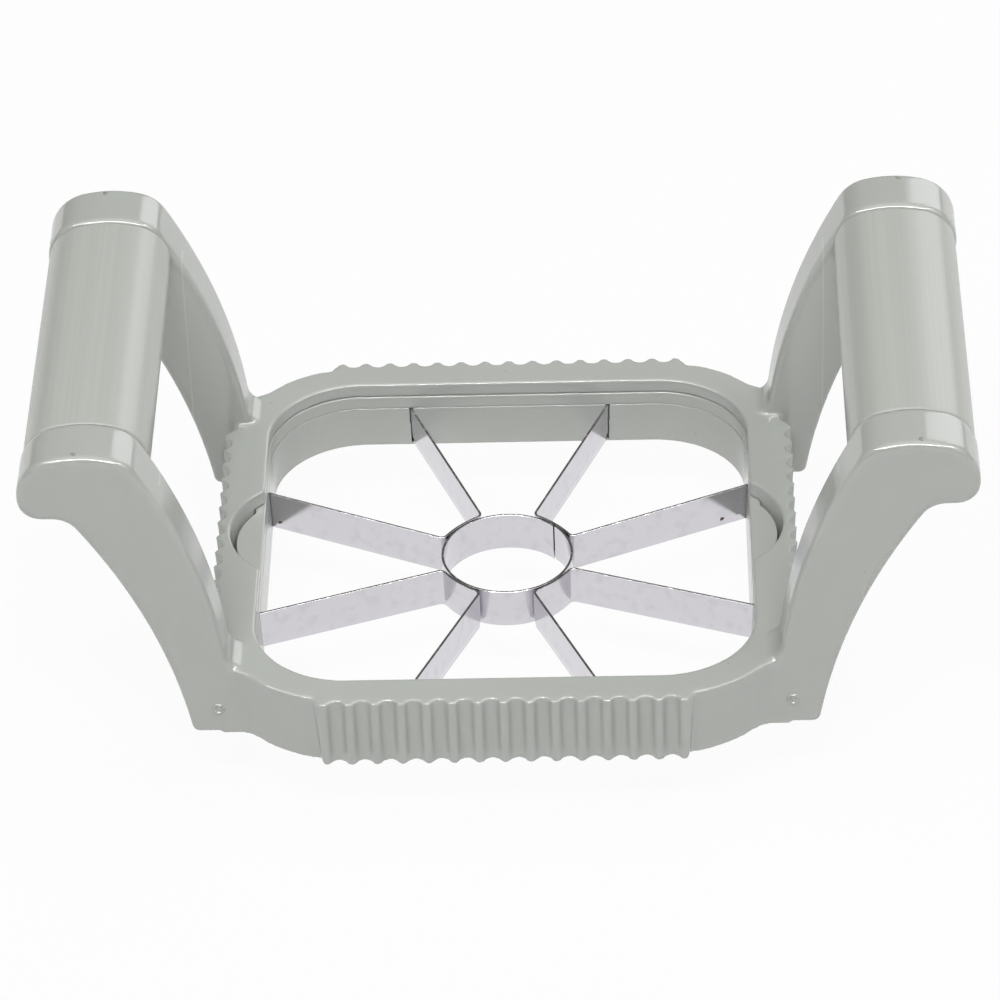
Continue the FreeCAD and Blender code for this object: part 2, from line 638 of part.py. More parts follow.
def blade_strip(name, quarter):
    """Strip in the quarter between two axes: spoke, bend, web, bend, spoke."""
    (first, first_half), (second, second_half) = spokes(quarter)
    pieces = [bent_strip(f"{name}_web", "0", "0", WEB_RADIUS, f"{first} + {BEND_STEP}",
                         f"90 - 2 * spoke_angle - 2 * {BEND_STEP}")]
    for label, angle, half, side, start in (
        ("first", first, first_half, 1, f"{first} + {BEND_STEP} - 180"),
        ("second", second, second_half, -1, f"{second} + 90"),
    ):
        turn = f"(({angle} + {side} * {BEND_STEP}) * 1deg)"
        pieces.append(bent_strip(
            f"{name}_{label}_bend", f"{BEND_CENTRE} * cos{turn}", f"{BEND_CENTRE} * sin{turn}",
            "bend_radius", start, f"90 - {BEND_STEP}"))
        along = f"({angle} * 1deg)"
        end = f"(({half} + slot_depth) / cos(spoke_angle * 1deg))"
        pieces.append(add(
            "Part::Box", f"{name}_{label}_spoke",
            Length=f"{end} - {SPOKE_ROOT}", Width="strip_thickness", Height=BLANK_HEIGHT,
            Placement__Base__x=f"{SPOKE_ROOT} * cos{along} + strip_thickness / 2 * sin{along}",
            Placement__Base__y=f"{SPOKE_ROOT} * sin{along} - strip_thickness / 2 * cos{along}",
            Placement__Base__z=BLANK_BOTTOM, Placement__Rotation__Angle=angle))
    return common(name, [joined(f"{name}_folded", pieces), blade_band])


STRIP_NAMES = ["blade_strip_rear_right", "blade_strip_rear_left",
               "blade_strip_front_left", "blade_strip_front_right"]
blade_strips = [blade_strip(name, quarter) for quarter, name in enumerate(STRIP_NAMES)]

# ---------------------------------------------------------------------------------------------
# Check every object and write one file for each sub-part
# ---------------------------------------------------------------------------------------------
doc.recompute()
SUB_PARTS = [frame, grip_left, grip_right, cassette_lower, cassette_upper, core_ring] + blade_strips
for item in doc.Objects:
    if "Invalid" in item.State or "Error" in item.State:
        raise RuntimeError(f"{item.Name} failed: {item.State}")
for sub_part in SUB_PARTS:
    if sub_part.Shape.isNull() or not sub_part.Shape.isValid():
        raise RuntimeError(f"{sub_part.Label} has no valid shape")

os.makedirs("parts", exist_ok=True)
for sub_part in SUB_PARTS:
    sub_part.Shape.exportStep(f"parts/{sub_part.Label}.step")
    print(sub_part.Label, len(sub_part.Shape.Solids), round(sub_part.Shape.Volume, 1))
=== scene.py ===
import math

import bmesh
import bpy
from mathutils import Matrix, Vector


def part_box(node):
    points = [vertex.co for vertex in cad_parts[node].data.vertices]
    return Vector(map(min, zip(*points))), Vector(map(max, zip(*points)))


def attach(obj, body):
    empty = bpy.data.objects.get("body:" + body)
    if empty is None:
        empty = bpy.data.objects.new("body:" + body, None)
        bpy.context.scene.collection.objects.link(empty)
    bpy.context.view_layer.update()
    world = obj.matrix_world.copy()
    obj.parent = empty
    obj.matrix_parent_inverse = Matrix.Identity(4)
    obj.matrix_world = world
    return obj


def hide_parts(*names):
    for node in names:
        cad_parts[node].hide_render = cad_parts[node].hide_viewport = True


# Apple slicer and wedger press. Everything is in metres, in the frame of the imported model:
# X to the right, Y to the rear, Z up, with the origin at the centre of the base.
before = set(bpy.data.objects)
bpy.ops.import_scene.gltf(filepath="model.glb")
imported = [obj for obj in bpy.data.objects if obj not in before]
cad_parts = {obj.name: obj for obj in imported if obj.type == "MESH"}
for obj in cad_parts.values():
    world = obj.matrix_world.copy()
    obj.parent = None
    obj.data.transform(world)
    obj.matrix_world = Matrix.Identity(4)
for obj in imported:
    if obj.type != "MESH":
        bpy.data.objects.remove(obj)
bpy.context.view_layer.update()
MM = 0.001


# ---------------------------------------------------------------------------------------------
# Frame: one injection moulding of grey polypropylene with a clear gloss. It carries every other
# piece. Each edge keeps the small radius that the mould was cut with, which shows as a fine bright
# line round the opening, the heads and the flutes.
# ---------------------------------------------------------------------------------------------
FRAME_GREY = "B8BBB6"
FRAME_SHADE = "B2B5B0"           # slight clouding of the pigment
SPECK = "6E6A5C"                 # dust caught in the plastic
PARTING_LINE_HIGHLIGHT = "C2C5BF"               # painted highlight: the lit side of the hairline ridge where the mould split
FRAME_ROUGHNESS = 0.15
PLASTIC_IOR = 1.49
POLISH = 1.0                     # specular level; 0.5 is plain, and this draws the bright lines
SPLIT_X = 65.4 * MM              # where the mould's side cores met
HAIRLINE_CORE, HAIRLINE_REACH = 0.05 * MM, 0.2 * MM
ARM_MIDDLE_Y = 41 * MM           # inside this, a face looks at the space between the arms
FRAME_VOXEL = 0.32 * MM
WELD_GAP = 0.002 * MM            # corners nearer than this are one
RELAX = 0.5                      # how far a point goes to its neighbours' middle in one pass
FRAME_PASSES, WORN_PASSES = 6, 40    # everywhere, and as many more where it is fully worn
RIM_MIDDLE, RIM_REACH, RIM_FADE = 14.9 * MM, 1.8 * MM, 0.8 * MM
LIP_EDGE = 51 * MM               # the lip's inner edge lies inside this
HEAD_FOOT_Z, HEAD_FADE = 44 * MM, 8 * MM
FLUTES_END, FLUTES_FADE = 37.2 * MM, 2.6 * MM    # along X, on the front and rear walls
COLLAR_WALL_Y = 55 * MM          # those walls lie outside this
RIM_WEAR, LIP_WEAR, HEAD_WEAR = 0.1, 0.4, 0.25   # shares of the extra passes


def linear(hex_colour):
    """Linear red, green, blue and alpha of an sRGB hex colour."""
    channels = [int(hex_colour[place:place + 2], 16) / 255 for place in (0, 2, 4)]
    return [c / 12.92 if c <= 0.04045 else ((c + 0.055) / 1.055) ** 2.4 for c in channels] + [1.0]


def node(tree, kind, settings=None, **links):
    """Adds a shader node. Settings are its properties; a link is an input's name, with spaces
    as underscores, and the value or the output socket that feeds it."""
    added = tree.nodes.new(kind)
    for name, value in (settings or {}).items():
        setattr(added, name, value)
    for name, value in links.items():
        key = int(name[1:]) if name[0] == "_" else name.replace("_", " ")
        if isinstance(value, bpy.types.NodeSocket):
            tree.links.new(value, added.inputs[key])
        else:
            added.inputs[key].default_value = value
    return added


def new_material(name):
    """Empty node material and its tree."""
    material = bpy.data.materials.new(name)
    material.use_nodes = True
    material.node_tree.nodes.clear()
    return material, material.node_tree


def moulded_plastic(name, colour, shade, roughness, split_x=None):
    """Polypropylene as it leaves a polished mould: a clear gloss that draws bright lines along
    rounded edges, faint clouding of the pigment, a few dark specks. Where two halves of the mould
    met, at split_x on both sides, a hairline stands up on the faces between the arms, and it is
    painted lighter as a highlight on its ridge."""
    material, tree = new_material(name)
    place = node(tree, "ShaderNodeTexCoord").outputs["Object"]
    clouding = node(tree, "ShaderNodeTexNoise", Vector=place, Scale=1 / (22 * MM), Detail=3.0)
    cloud = node(tree, "ShaderNodeMix", {"data_type": "RGBA"},
                 _0=clouding.outputs["Fac"], _6=linear(colour), _7=linear(shade))
    # Specks up to half a millimetre across, about one in every 7 square centimetres.
    specks = node(tree, "ShaderNodeTexVoronoi", Vector=place, Scale=1 / (7 * MM))
    speck = node(tree, "ShaderNodeMapRange", Value=specks.outputs["Distance"],
                 From_Min=0.035, From_Max=0.015, To_Max=0.45)
    tint = node(tree, "ShaderNodeMix", {"data_type": "RGBA"},
                _0=speck.outputs["Result"], _6=cloud.outputs[2], _7=linear(SPECK))
    ripple = node(tree, "ShaderNodeTexNoise", Vector=place, Scale=1 / (5 * MM), Detail=1.0)
    relief = node(tree, "ShaderNodeBump", Strength=0.2, Distance=0.01 * MM,
                  Height=ripple.outputs["Fac"])
    if split_x:
        axes = node(tree, "ShaderNodeSeparateXYZ", Vector=place)
        sideways = node(tree, "ShaderNodeMath", {"operation": "ABSOLUTE"}, _0=axes.outputs["X"])
        away = node(tree, "ShaderNodeMath", {"operation": "SUBTRACT"},
                    _0=sideways.outputs["Value"], _1=split_x)
        away = node(tree, "ShaderNodeMath", {"operation": "ABSOLUTE"}, _0=away.outputs["Value"])
        ridge = node(tree, "ShaderNodeMapRange", Value=away.outputs["Value"],
                     From_Min=HAIRLINE_REACH, From_Max=HAIRLINE_CORE)
        depth = node(tree, "ShaderNodeMath", {"operation": "ABSOLUTE"}, _0=axes.outputs["Y"])
        inside = node(tree, "ShaderNodeMath", {"operation": "LESS_THAN"},
                      _0=depth.outputs["Value"], _1=ARM_MIDDLE_Y)
        hairline = node(tree, "ShaderNodeMath", {"operation": "MULTIPLY"},
                        _0=ridge.outputs["Result"], _1=inside.outputs["Value"])
        relief = node(tree, "ShaderNodeBump", Strength=0.3, Distance=0.03 * MM,
                      Height=hairline.outputs["Value"], Normal=relief.outputs["Normal"])
        # Painted highlight: the hairline's ridge is tinted lighter, as its lit side looks.
        tint = node(tree, "ShaderNodeMix", {"data_type": "RGBA"},
                    _0=hairline.outputs["Value"], _6=tint.outputs[2], _7=linear(PARTING_LINE_HIGHLIGHT))
    polish = node(tree, "ShaderNodeTexNoise", Vector=place, Scale=1 / (3 * MM), Detail=2.0)
    gloss = node(tree, "ShaderNodeMapRange", Value=polish.outputs["Fac"],
                 To_Min=roughness - 0.02, To_Max=roughness + 0.02)
    shader = node(tree, "ShaderNodeBsdfPrincipled", Base_Color=tint.outputs[2],
                  Roughness=gloss.outputs["Result"], IOR=PLASTIC_IOR,
                  Specular_IOR_Level=POLISH, Normal=relief.outputs["Normal"])
    node(tree, "ShaderNodeOutputMaterial", Surface=shader.outputs["BSDF"])
    return material


def modified(piece):
    """Applies a piece's modifiers and returns its new mesh."""
    shape = bpy.data.meshes.new_from_object(
        piece.evaluated_get(bpy.context.evaluated_depsgraph_get()))
    piece.modifiers.clear()
    piece.data = shape
    return shape


def moulding(cad_node, name, voxel, passes, material, body, worn=None):
    """Moulded piece in place of a CAD node: the same solid, with its edges worn to the radius of
    the mould by remeshing and relaxing it. Where worn gives more than 0, it is rounder still."""
    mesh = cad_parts[cad_node].data.copy()
    mesh.name = name
    mesh.materials.clear()
    piece = bpy.data.objects.new(name, mesh)
    bpy.context.scene.collection.objects.link(piece)
    weld = piece.modifiers.new("weld", "WELD")
    weld.merge_threshold = WELD_GAP
    remesh = piece.modifiers.new("remesh", "REMESH")
    remesh.mode = "VOXEL"
    remesh.voxel_size = voxel
    relax = piece.modifiers.new("relax", "SMOOTH")
    relax.factor = RELAX
    relax.iterations = passes
    shape = modified(piece)
    if worn:
        group = piece.vertex_groups.new(name="worn")
        for vertex in shape.vertices:
            share = worn(vertex.co)
            if share > 0:
                group.add([vertex.index], share, "REPLACE")
        softer = piece.modifiers.new("softer", "SMOOTH")
        softer.vertex_group = group.name
        softer.factor = RELAX
        softer.iterations = WORN_PASSES
        shape = modified(piece)
        piece.vertex_groups.clear()
    shape.name = name
    shape.shade_smooth()
    shape.materials.append(material)
    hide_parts(cad_node)
    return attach(piece, body)


def worn_collar(place):
    """Share of extra rounding: a little along the collar's rim and round the heads, more along
    the lip inside it, most of all where the rows of flutes end on its front and rear walls."""
    from_rim = abs(place.z - RIM_MIDDLE)
    rim = LIP_WEAR if max(abs(place.x), abs(place.y)) < LIP_EDGE else RIM_WEAR
    rim *= min(1.0, max(0.0, (RIM_REACH - from_rim) / RIM_FADE))
    head = HEAD_WEAR * min(1.0, max(0.0, (place.z - HEAD_FOOT_Z) / HEAD_FADE))
    from_end = abs(abs(place.x) - FLUTES_END)
    end = max(0.0, 1 - from_end / FLUTES_FADE) if abs(place.y) > COLLAR_WALL_Y else 0.0
    return max(rim, head, end)


frame_plastic = moulded_plastic("moulded_polypropylene", FRAME_GREY, FRAME_SHADE,
                                FRAME_ROUGHNESS, SPLIT_X)
press_frame = moulding("frame", "press_frame", FRAME_VOXEL, FRAME_PASSES, frame_plastic,
                       "frame", worn_collar)

# ---------------------------------------------------------------------------------------------
# Marks of the mould, part of the same plastic: where the pins pushed the frame out, a small
# raised ring stands on the outer face of each arm's foot, and where the plastic ran in, a
# scorched stub was cut off nearly flush at the top of each head.
# ---------------------------------------------------------------------------------------------
OUTSIDE = 0.1                    # start of a line that comes from beyond the press
PIN_MARK_X, PIN_MARK_Z = 56.6 * MM, 6.1 * MM
# Half sections in mm: distance from the middle, height.
PIN_RING = [(1.3, -0.06), (1.2, 0.2), (1.06, 0.36), (0.9, 0.36), (0.76, 0.2), (0.66, 0.01),
            (0.45, 0.03), (0.2, 0.15)]
GATE_X, GATE_Y = 80.9 * MM, 45.7 * MM
GATE_STUB = [(0.6, -0.03), (0.52, 0.015), (0.2, 0.02)]
GATE_BROWN = "6E5A3C"
GATE_ROUGHNESS = 0.55


def on_frame(start, towards):
    """Point and normal where a line first meets the frame."""
    _, place, normal, _ = press_frame.ray_cast(Vector(start), Vector(towards))
    return place, normal


def turned(name, half_section, place, normal, material, body, wobble=0.0, steps=28):
    """Low boss: a half section turned round the normal at a place on a surface. A wobble above 0
    makes its outline irregular, by three waves round it."""
    tilt = normal.to_track_quat("Z", "Y")
    mesh = bmesh.new()
    rings = []
    for radius, height in half_section:
        ring = []
        for k in range(steps):
            turn = 2 * math.pi * k / steps
            bulge = (math.sin(2 * turn + 0.7) + 0.7 * math.sin(3 * turn + 2)
                     + 0.5 * math.sin(5 * turn))
            reach = radius * MM * (1 + wobble * bulge)
            spot = Vector((reach * math.cos(turn), reach * math.sin(turn), height * MM))
            ring.append(mesh.verts.new(place + tilt @ spot))
        rings.append(ring)
    for outer, inner in zip(rings, rings[1:]):
        for k in range(steps):
            after = (k + 1) % steps
            mesh.faces.new([outer[k], outer[after], inner[after], inner[k]])
    mesh.faces.new(rings[-1])
    data = bpy.data.meshes.new(name)
    mesh.to_mesh(data)
    mesh.free()
    data.shade_smooth()
    data.materials.append(material)
    piece = bpy.data.objects.new(name, data)
    bpy.context.scene.collection.objects.link(piece)
    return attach(piece, body)


def scorched_plastic(name):
    """Polypropylene browned where the gate was cut hot: matt, mottled, darker at the middle."""
    material, tree = new_material(name)
    place = node(tree, "ShaderNodeTexCoord").outputs["Object"]
    mottle = node(tree, "ShaderNodeTexNoise", Vector=place, Scale=1 / (0.4 * MM), Detail=2.0)
    tint = node(tree, "ShaderNodeMix", {"data_type": "RGBA"},
                _0=mottle.outputs["Fac"], _6=linear(GATE_BROWN), _7=linear(FRAME_SHADE))
    relief = node(tree, "ShaderNodeBump", Strength=0.4, Distance=0.03 * MM,
                  Height=mottle.outputs["Fac"])
    shader = node(tree, "ShaderNodeBsdfPrincipled", Base_Color=tint.outputs[2],
                  Roughness=GATE_ROUGHNESS, IOR=PLASTIC_IOR, Normal=relief.outputs["Normal"])
    node(tree, "ShaderNodeOutputMaterial", Surface=shader.outputs["BSDF"])
    return material


bpy.context.view_layer.update()
scorched = scorched_plastic("scorched_polypropylene")
mark_plastic = moulded_plastic("moulded_polypropylene_mark", FRAME_GREY, FRAME_SHADE,
                               FRAME_ROUGHNESS)
for side, across in (("left", -1), ("right", 1)):
    for end, along in (("rear", 1), ("front", -1)):
        face, facing = on_frame((across * PIN_MARK_X, along * OUTSIDE, PIN_MARK_Z),
                                (0, -along, 0))
        turned(f"pin_mark_{end}_{side}", PIN_RING, face, facing, mark_plastic,
               "frame")
        crown, upwards = on_frame((across * GATE_X, along * GATE_Y, OUTSIDE), (0, 0, -1))
        turned(f"gate_stub_{end}_{side}", GATE_STUB, crown, upwards, scorched,
               "frame", wobble=0.15)

# ---------------------------------------------------------------------------------------------
# Grips: two D-shaped tubes of extruded plastic, cut to length and sprung in between the heads.
# The die leaves fine lines along them, and the saw leaves a slightly rounded end.
# ---------------------------------------------------------------------------------------------
GRIP_GREY = "BABCB7"
GRIP_LINE = "B4B7B1"             # the streaks that the die leaves
GRIP_STRETCH = 0.004             # the streaks are this much finer across than along
GRIP_ROUGHNESS = 0.27
GRIP_VOXEL = 0.3 * MM
GRIP_PASSES = 5


def extruded_plastic(name, colour, line_colour):
    """Plastic pushed through a die: fine lines, a fraction of a millimetre apart, run along Y
    and catch the light as streaks."""
    material, tree = new_material(name)
    place = node(tree, "ShaderNodeTexCoord").outputs["Object"]
    stretched = node(tree, "ShaderNodeMapping", Vector=place, Scale=(1.0, GRIP_STRETCH, 1.0))
    lines = node(tree, "ShaderNodeTexNoise", Vector=stretched.outputs["Vector"],
                 Scale=1 / (0.9 * MM), Detail=3.0)
    broad = node(tree, "ShaderNodeTexNoise", Vector=stretched.outputs["Vector"],
                 Scale=1 / (5 * MM), Detail=1.0)
    both = node(tree, "ShaderNodeMath", {"operation": "ADD"},
                _0=lines.outputs["Fac"], _1=broad.outputs["Fac"])
    contrast = node(tree, "ShaderNodeMapRange", Value=both.outputs["Value"],
                    From_Min=0.75, From_Max=1.25)
    tint = node(tree, "ShaderNodeMix", {"data_type": "RGBA"},
                _0=contrast.outputs["Result"], _6=linear(colour), _7=linear(line_colour))
    relief = node(tree, "ShaderNodeBump", Strength=0.3, Distance=0.02 * MM,
                  Height=lines.outputs["Fac"])
    shader = node(tree, "ShaderNodeBsdfPrincipled", Base_Color=tint.outputs[2],
                  Roughness=GRIP_ROUGHNESS, IOR=PLASTIC_IOR, Normal=relief.outputs["Normal"])
    node(tree, "ShaderNodeOutputMaterial", Surface=shader.outputs["BSDF"])
    return material


grip_plastic = extruded_plastic("extruded_plastic", GRIP_GREY, GRIP_LINE)
for side in ("left", "right"):
    moulding(f"grip_{side}", f"grip_bar_{side}", GRIP_VOXEL, GRIP_PASSES, grip_plastic,
             "frame")

# ---------------------------------------------------------------------------------------------
# Cassette: two moulded rings that clamp the ends of the blades between them. The upper ring
# carries the two half-moon tabs that the thumbs push to drop the cassette out.
# ---------------------------------------------------------------------------------------------
CASSETTE_GREY = "B7BAB4"
CASSETTE_ROUGHNESS = 0.16
CASSETTE_VOXEL = 0.22 * MM
CASSETTE_PASSES = 4
cassette_plastic = moulded_plastic("cassette_polypropylene", CASSETTE_GREY, FRAME_SHADE,
                                   CASSETTE_ROUGHNESS)
moulding("cassette_lower", "blade_clamp_ring", CASSETTE_VOXEL, CASSETTE_PASSES,
         cassette_plastic, "blade_cassette")
moulding("cassette_upper", "push_tab_ring", CASSETTE_VOXEL, CASSETTE_PASSES,
         cassette_plastic, "blade_cassette")

# ---------------------------------------------------------------------------------------------
# Blades: bright rolled stainless strip, half a millimetre thick, ground to an edge along its
# lower side. Four strips are folded into two spokes and a web each, and the webs are spot
# welded to the ring that cuts out the core.
# ---------------------------------------------------------------------------------------------
STEEL = "D3D1D6"
STEEL_SMUDGE = "C8C6CB"          # where it was handled and welded
# Painted reflection: the sheared upper edges are drawn dark, as they look when they mirror the dim
# room above.
SHEARED_DARK_REFLECTION = "8E8C8C"
SHEARED_ROUGHNESS = 0.34
STRIP_THICKNESS = 0.5 * MM
GROUND_HEIGHT = 1.7 * MM         # height of the ground bevel
CUTTING_EDGE = 0.08 * MM
SHEARED_ROUND = 0.08 * MM        # rounding of the sheared upper edge
SPOKE_ANGLE = math.radians(22.5)
BEND_RADIUS = 1.25 * MM
WEB_SPRING = 0.22 * MM           # the web stands off the ring by this much beside its bends
SPOKE_STEPS, BEND_STEPS, WEB_STEPS = 24, 8, 20    # pieces of the path in each
FACET_ANGLE = math.radians(5)    # edges sharper than this aren't shaded smooth

ring_low, ring_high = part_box("core_ring")
RING_RADIUS = ring_high.x
STRIP_HEIGHT = ring_high.z - ring_low.z
WEB_RADIUS = RING_RADIUS + STRIP_THICKNESS / 2
_, strip_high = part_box("blade_strip_rear_right")
BLADE_RISE = strip_high.z - ring_high.z
SPOKE_END = (strip_high.x - STRIP_THICKNESS / 2 * math.sin(SPOKE_ANGLE)) / math.cos(SPOKE_ANGLE)


def polar(radius, angle):
    return Vector((radius * math.cos(angle), radius * math.sin(angle)))


def arc(centre, radius, start, end, steps):
    """Points on an arc, both ends included."""
    return [centre + polar(radius, start + (end - start) * k / steps) for k in range(steps + 1)]


SHEARED_CORNERS = (3, 4, 5)


def strip_section():
    """Upright section of a strip as (sideways, up): ground edge below, sheared edge above. The
    sides that begin at SHEARED_CORNERS are sheared, the others rolled or ground."""
    half = STRIP_THICKNESS / 2
    top = STRIP_HEIGHT
    return [
        (-CUTTING_EDGE / 2, 0), (CUTTING_EDGE / 2, 0), (half, GROUND_HEIGHT),
        (half, top - SHEARED_ROUND), (half - SHEARED_ROUND, top),
        (SHEARED_ROUND - half, top), (-half, top - SHEARED_ROUND), (-half, GROUND_HEIGHT),
    ]


def steel_strip(name, path, level, rolled, sheared, cad_node):
    """Strip on edge along a path in plan; level gives the height of its lower edge at a point.
    Its sides are as rolled and its upper edge is as sheared."""
    section = strip_section()
    vertices = []
    for index, point in enumerate(path):
        before = path[max(index - 1, 0)]
        after = path[min(index + 1, len(path) - 1)]
        along = (after - before).normalized()
        sideways = Vector((along.y, -along.x))
        for offset, up in section:
            place = point + sideways * offset
            vertices.append((place.x, place.y, level(point) + up))
    count = len(section)
    faces = [list(range(count)), list(reversed(range(len(vertices) - count, len(vertices))))]
    finish = [0, 0]
    for index in range(len(path) - 1):
        for corner in range(count):
            here = index * count + corner
            beside = index * count + (corner + 1) % count
            faces.append([here, here + count, beside + count, beside])
            finish.append(1 if corner in SHEARED_CORNERS else 0)
    mesh = bpy.data.meshes.new(name)
    mesh.from_pydata(vertices, [], faces)
    mesh.materials.append(rolled)
    mesh.materials.append(sheared)
    mesh.polygons.foreach_set("material_index", finish)
    mesh.shade_smooth()
    mesh.set_sharp_from_angle(angle=FACET_ANGLE)
    piece = bpy.data.objects.new(name, mesh)
    bpy.context.scene.collection.objects.link(piece)
    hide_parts(cad_node)
    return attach(piece, "blade_cassette")


def rolled_steel(name):
    """Bright rolled stainless: nearly a mirror, with a faint grinding grain across the strip,
    drawn coarser than it is so that it shows, and smudges where it was handled and welded."""
    material, tree = new_material(name)
    place = node(tree, "ShaderNodeTexCoord").outputs["Object"]
    smudge = node(tree, "ShaderNodeTexNoise", Vector=place, Scale=1 / (2.5 * MM), Detail=5.0)
    amount = node(tree, "ShaderNodeMapRange", Value=smudge.outputs["Fac"],
                  From_Min=0.5, From_Max=0.8)
    tint = node(tree, "ShaderNodeMix", {"data_type": "RGBA"},
                _0=amount.outputs["Result"], _6=linear(STEEL), _7=linear(STEEL_SMUDGE))
    upright = node(tree, "ShaderNodeMapping", Vector=place, Scale=(1.0, 1.0, 0.05))
    grain = node(tree, "ShaderNodeTexNoise", Vector=upright.outputs["Vector"],
                 Scale=1 / (0.5 * MM), Detail=2.0)
    gloss = node(tree, "ShaderNodeMapRange", Value=grain.outputs["Fac"],
                 To_Min=0.12, To_Max=0.2)
    relief = node(tree, "ShaderNodeBump", Strength=0.15, Distance=0.005 * MM,
                  Height=grain.outputs["Fac"])
    shader = node(tree, "ShaderNodeBsdfPrincipled", Base_Color=tint.outputs[2], Metallic=1.0,
                  Roughness=gloss.outputs["Result"], Normal=relief.outputs["Normal"])
    node(tree, "ShaderNodeOutputMaterial", Surface=shader.outputs["BSDF"])
    return material


def sheared_steel_dark_reflection(name):
    """Edge left by the shear: dull, with bright nicks every few millimetres. Its dark grey is a
    painted reflection of the dim room above the upper edges.
    """
    material, tree = new_material(name)
    place = node(tree, "ShaderNodeTexCoord").outputs["Object"]
    nicks = node(tree, "ShaderNodeTexNoise", Vector=place, Scale=1 / (1.2 * MM), Detail=3.0)
    bright = node(tree, "ShaderNodeMapRange", Value=nicks.outputs["Fac"],
                  From_Min=0.55, From_Max=0.72)
    # Painted dark reflection over the edge, with bright steel at the nicks.
    tint = node(tree, "ShaderNodeMix", {"data_type": "RGBA"},
                _0=bright.outputs["Result"], _6=linear(SHEARED_DARK_REFLECTION), _7=linear(STEEL))
    torn = node(tree, "ShaderNodeBump", Strength=0.8, Distance=0.04 * MM,
                Height=nicks.outputs["Fac"])
    shader = node(tree, "ShaderNodeBsdfPrincipled", Base_Color=tint.outputs[2], Metallic=1.0,
                  Roughness=SHEARED_ROUGHNESS, Normal=torn.outputs["Normal"])
    node(tree, "ShaderNodeOutputMaterial", Surface=shader.outputs["BSDF"])
    return material


steel = rolled_steel("rolled_stainless")
sheared_edge_dark_reflection = sheared_steel_dark_reflection("sheared_stainless_dark_reflection")


def spoke_level(point):
    """Height of a blade's lower edge: it climbs from the core ring to the cassette's wall."""
    climb = (point.length - WEB_RADIUS) / (SPOKE_END - WEB_RADIUS)
    return ring_low.z + BLADE_RISE * max(0.0, climb)


def folded_path(quarter):
    """Plan of a folded strip: spoke, bend, web, bend, spoke."""
    first = quarter * math.pi / 2 + SPOKE_ANGLE
    second = (quarter + 1) * math.pi / 2 - SPOKE_ANGLE
    bend_centre = WEB_RADIUS + WEB_SPRING + BEND_RADIUS
    step = math.asin(BEND_RADIUS / bend_centre)
    root = bend_centre * math.cos(step)
    turn = math.pi / 2 - step
    path = [polar(SPOKE_END + (root - SPOKE_END) * k / SPOKE_STEPS, first)
            for k in range(SPOKE_STEPS)]
    path += arc(polar(bend_centre, first + step), BEND_RADIUS,
                first - math.pi / 2, first - math.pi / 2 - turn, BEND_STEPS)
    middle = (first + second) / 2
    half = (second - first) / 2 - step
    for k in range(1, WEB_STEPS):
        across = 2 * k / WEB_STEPS - 1
        path.append(polar(WEB_RADIUS + WEB_SPRING * across ** 2, middle + half * across))
    path += arc(polar(bend_centre, second - step), BEND_RADIUS,
                second + math.pi / 2 + turn, second + math.pi / 2, BEND_STEPS)
    path += [polar(root + (SPOKE_END - root) * k / SPOKE_STEPS, second)
             for k in range(1, SPOKE_STEPS + 1)]
    return path


for quarter, corner in enumerate(("rear_right", "rear_left", "front_left", "front_right")):
    steel_strip(f"folded_blade_{corner}", folded_path(quarter), spoke_level, steel,
                sheared_edge_dark_reflection, f"blade_strip_{corner}")

# The core ring is rolled from the same strip. Its ends meet at the right rear, one slightly
# inside the other, so the cut end shows inside the ring.
SEAM_ANGLE = math.radians(43)
SEAM_GAP = math.radians(1)
SEAM_STEP = 0.14 * MM
SEAM_REACH = 1 / 24              # part of a turn over which an end bends in or out
RING_INSET, INNER_END, OUTER_END = 0.6, 0.8, -0.48    # in steps of the seam, inwards
RING_STEPS = 180
RING_CENTRE_RADIUS = RING_RADIUS - STRIP_THICKNESS / 2


def ring_path():
    """Plan of the rolled strip, from the inner end at the seam round to the outer end."""
    path = []
    for k in range(RING_STEPS + 1):
        share = k / RING_STEPS
        inner_end = max(0.0, 1 - share / SEAM_REACH)
        outer_end = max(0.0, 1 - (1 - share) / SEAM_REACH)
        inset = SEAM_STEP * (RING_INSET + INNER_END * inner_end + OUTER_END * outer_end)
        angle = SEAM_ANGLE + SEAM_GAP / 2 + share * (2 * math.pi - SEAM_GAP)
        path.append(polar(RING_CENTRE_RADIUS - inset, angle))
    return path


steel_strip("rolled_core_ring", ring_path(), lambda point: ring_low.z, steel, sheared_edge_dark_reflection,
            "core_ring")

# ---------------------------------------------------------------------------------------------
# Burrs: two of the rear spokes kept a crumb of torn steel on the front face, just above the
# ground edge, and damp has browned it.
# ---------------------------------------------------------------------------------------------
RUST_BROWN, RUST_DARK = "6B4A33", "3A2E28"
RUST_METALLIC, RUST_ROUGHNESS = 0.3, 0.6
BURR = [(0.4, -0.05), (0.34, 0.12), (0.2, 0.17), (0.08, 0.13)]   # half section in mm
BURR_HEIGHT = 1.8 * MM           # above the cutting edge
BURRS = {"rear_right": (47.6 * MM, SPOKE_ANGLE), "rear_left": (51.2 * MM, math.pi - SPOKE_ANGLE)}


def rusty_steel(name):
    """Torn steel gone brown: dull, with dark pits."""
    material, tree = new_material(name)
    place = node(tree, "ShaderNodeTexCoord").outputs["Object"]
    pits = node(tree, "ShaderNodeTexNoise", Vector=place, Scale=1 / (0.3 * MM), Detail=3.0)
    tint = node(tree, "ShaderNodeMix", {"data_type": "RGBA"},
                _0=pits.outputs["Fac"], _6=linear(RUST_BROWN), _7=linear(RUST_DARK))
    relief = node(tree, "ShaderNodeBump", Strength=0.6, Distance=0.05 * MM,
                  Height=pits.outputs["Fac"])
    shader = node(tree, "ShaderNodeBsdfPrincipled", Base_Color=tint.outputs[2],
                  Metallic=RUST_METALLIC, Roughness=RUST_ROUGHNESS,
                  Normal=relief.outputs["Normal"])
    node(tree, "ShaderNodeOutputMaterial", Surface=shader.outputs["BSDF"])
    return material


